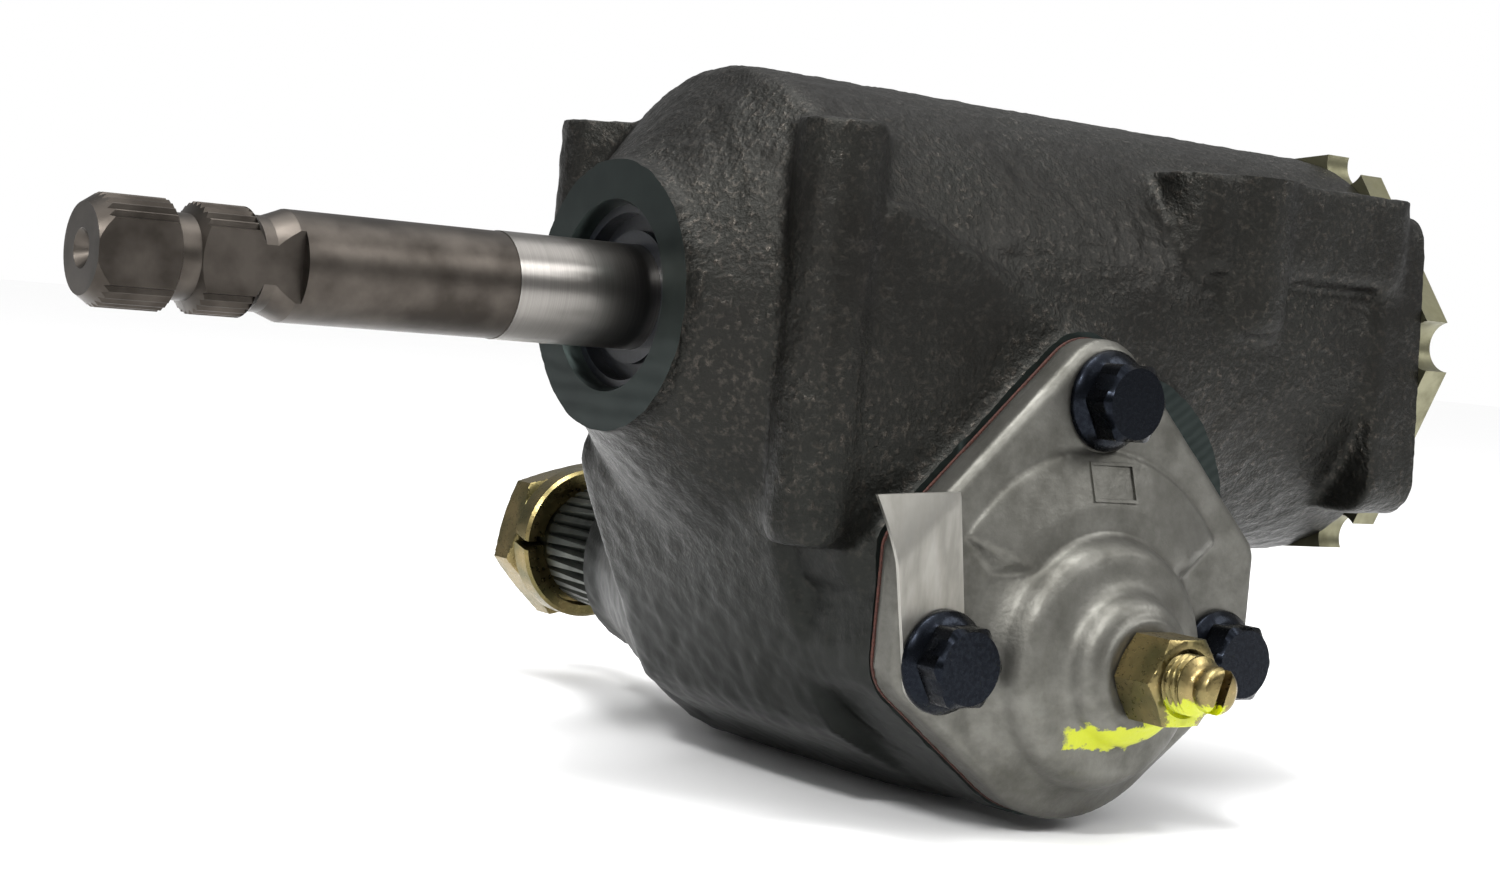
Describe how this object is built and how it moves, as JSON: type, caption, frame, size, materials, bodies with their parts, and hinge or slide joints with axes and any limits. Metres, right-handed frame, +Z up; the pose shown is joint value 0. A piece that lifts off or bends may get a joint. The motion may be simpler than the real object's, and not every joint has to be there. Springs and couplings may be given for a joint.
{
  "type": "steering gearbox",
  "caption": "Recirculating-ball steering gearbox: cast housing, worm input shaft and sector output shaft, meshed through a ball nut.",
  "frame": {"origin": "middle of the four frame bolt holes, in the plane of their pads", "axes": "+X along the worm shaft towards the bearing adjuster, +Y along the sector shaft towards the steering arm, +Z up out of the frame pads"},
  "size_m": [0.2889, 0.2271, 0.1406],
  "materials": {
    "cast_housing": "sand-cast iron, dark and lightly oiled",
    "cover_aluminium": "die-cast aluminium, satin",
    "gasket_paper": "pressed gasket fibre",
    "bolt_black": "black phosphated and oiled",
    "tag_aluminium": "rolled sheet, bare",
    "bush_bronze": "bored bronze",
    "ground_steel": "hardened and ground",
    "ball_steel": "polished balls",
    "shaft_steel": "turned and ground, oiled",
    "seal_rubber": "moulded rubber in a pressed case",
    "pressed_steel": "pressed sheet",
    "cast_plug": "machined cast iron",
    "ring_steel": "stamped plate, lightly rusted",
    "plated_steel": "yellow zinc plate"
  },
  "bodies": {
    "housing": {"gear_housing": "cast_housing", "side_cover": "cover_aluminium", "cover_gasket": "gasket_paper", "cover_bolts": "bolt_black", "ident_tag": "tag_aluminium", "cover_bushing": "bush_bronze", "lash_adjuster_screw": "plated_steel", "lash_lock_nut": "plated_steel", "sector_bushing": "bush_bronze", "sector_seal": "seal_rubber", "input_seal": "seal_rubber", "upper_bearing_cup": "ground_steel", "lower_bearing_cup": "ground_steel", "lower_bearing_retainer": "pressed_steel", "bearing_adjuster_plug": "cast_plug", "adjuster_lock_ring": "ring_steel"},
    "sector": {"sector_shaft": "shaft_steel", "lash_shim": "ground_steel", "pitman_lock_washer": "plated_steel", "pitman_nut": "plated_steel"},
    "worm": {"worm_shaft": "shaft_steel"},
    "nut": {"ball_nut": "shaft_steel", "recirculating_balls": "ball_steel", "ball_guides": "pressed_steel", "ball_guide_clamp": "pressed_steel", "guide_clamp_screws": "pressed_steel"},
    "upper_bearing": {"upper_bearing_balls": "ball_steel", "upper_bearing_cage": "pressed_steel"},
    "lower_bearing": {"lower_bearing_balls": "ball_steel", "lower_bearing_cage": "pressed_steel"}
  },
  "joints": [
    {"name": "sector_swing", "type": "hinge", "parent": "housing", "child": "sector", "pos_m": [0.0037, 0, -0.0956], "axis": [0, 1, 0], "range_deg": [-36, 36]},
    {"name": "nut_slide", "type": "slide", "parent": "housing", "child": "nut", "axis": [1, 0, 0], "range_m": [-0.0193, 0.0193]},
    {"name": "worm_turn", "type": "hinge", "parent": "housing", "child": "worm", "pos_m": [0, 0, -0.035], "axis": [1, 0, 0], "range_deg": [-865, 865]},
    {"name": "upper_cage_turn", "type": "hinge", "parent": "housing", "child": "upper_bearing", "pos_m": [0, 0, -0.035], "axis": [1, 0, 0], "range_deg": [-376, 376]},
    {"name": "lower_cage_turn", "type": "hinge", "parent": "housing", "child": "lower_bearing", "pos_m": [0, 0, -0.035], "axis": [1, 0, 0], "range_deg": [-376, 376]}
  ],
  "couplings": [
    {"joint": "nut_slide", "follows": "sector_swing", "m_per_rad": 0.030558},
    {"joint": "worm_turn", "follows": "sector_swing", "ratio": -24},
    {"joint": "upper_cage_turn", "follows": "sector_swing", "ratio": -10.38},
    {"joint": "lower_cage_turn", "follows": "sector_swing", "ratio": -10.38}
  ]
}
